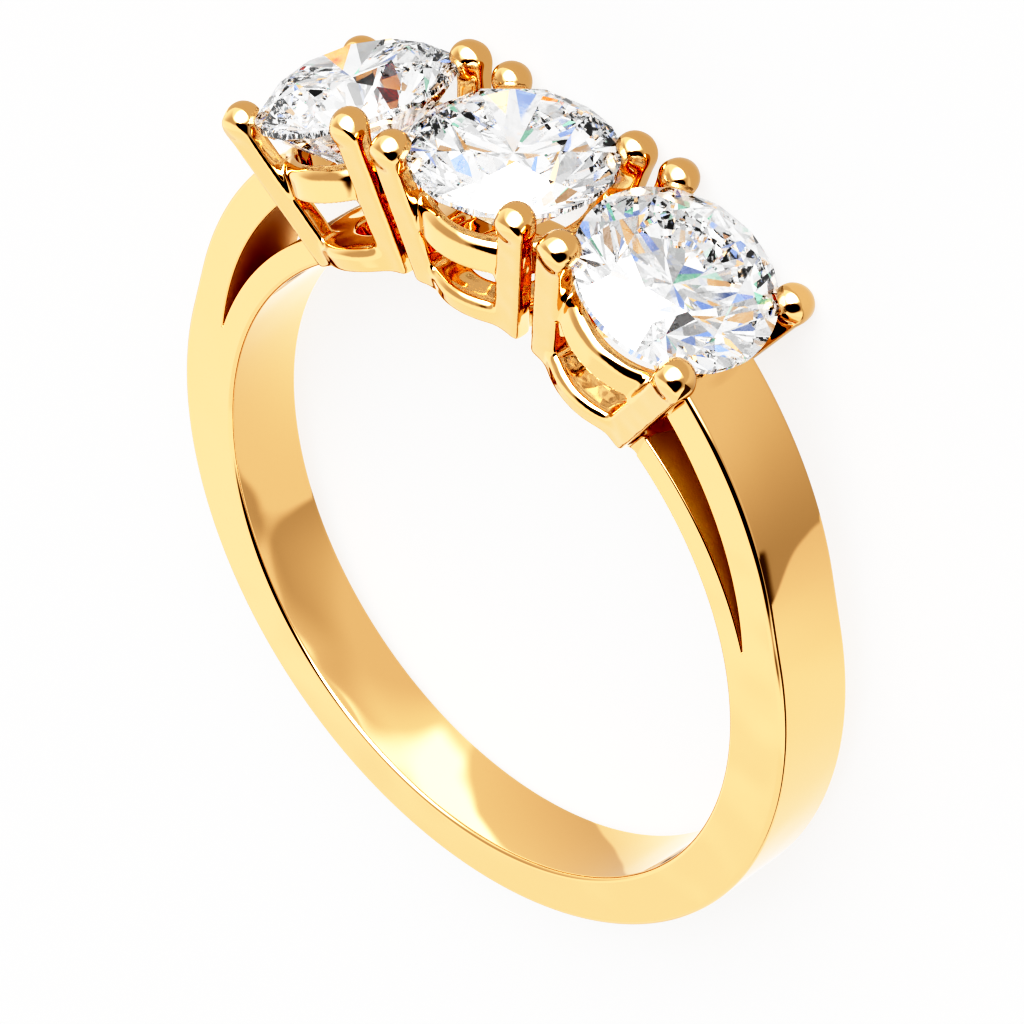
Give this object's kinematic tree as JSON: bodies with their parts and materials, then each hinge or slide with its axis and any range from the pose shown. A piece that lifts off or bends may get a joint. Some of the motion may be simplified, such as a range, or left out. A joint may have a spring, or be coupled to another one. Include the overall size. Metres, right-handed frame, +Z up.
{
  "type": "three stone ring",
  "caption": "Finger ring: a band with split shoulders and a row of claw settings holding round brilliants, lying on its side.",
  "frame": {"origin": "centre of the bounding box's underside, on the surface that the ring lies on", "axes": "-Y towards the stones, from the palm side of the band; +X along the row of stones, from the right one to the left one; +Z up, out of the lying ring"},
  "size_m": [0.0204, 0.0228, 0.0051],
  "materials": {
    "gold": "polished",
    "stone": "polished"
  },
  "bodies": {
    "root": {"band_with_settings": "gold", "stone_left": "stone", "stone_centre": "stone", "stone_right": "stone"}
  },
  "joints": []
}
